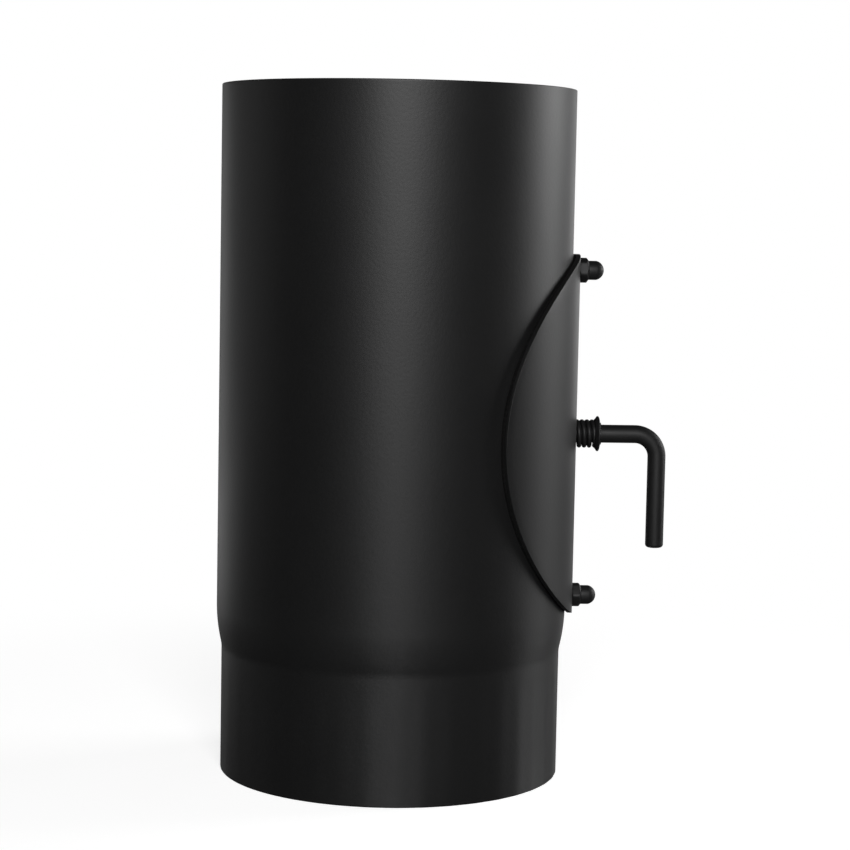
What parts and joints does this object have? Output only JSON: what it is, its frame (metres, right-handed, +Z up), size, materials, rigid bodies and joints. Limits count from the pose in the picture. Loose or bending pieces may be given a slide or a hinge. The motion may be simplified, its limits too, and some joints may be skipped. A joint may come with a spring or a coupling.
{
  "type": "stove pipe damper",
  "caption": "Black steel stove pipe section with a plain socket, a necked spigot, a bolted round cleaning door and a throttle plate turned by a bent handle.",
  "frame": {"origin": "centre of the spigot's bottom rim, on the pipe's axis", "axes": "+Z up the pipe's axis towards the socket, +X along the spindle towards the cleaning door and handle"},
  "size_m": [0.198, 0.154, 0.3],
  "materials": {
    "pipe_paint": "matte heat-proof black paint",
    "hardware_black": "satin black",
    "plated_steel": "dull zinc plate",
    "gasket_fibre": "dark woven glass fibre"
  },
  "bodies": {
    "pipe": {"pipe_body": "pipe_paint", "cleaning_door": "pipe_paint", "door_gasket": "gasket_fibre", "door_studs": "plated_steel", "cap_nuts": "hardware_black", "friction_spring": "hardware_black"},
    "damper": {"spindle_handle": "hardware_black", "outer_retainer": "hardware_black", "inner_retainer": "hardware_black", "damper_disc": "pipe_paint", "disc_screws": "plated_steel"}
  },
  "joints": [
    {"name": "damper_turn", "type": "hinge", "parent": "pipe", "child": "damper", "pos_m": [0, 0, 0.15], "axis": [1, 0, 0], "continuous": true}
  ]
}
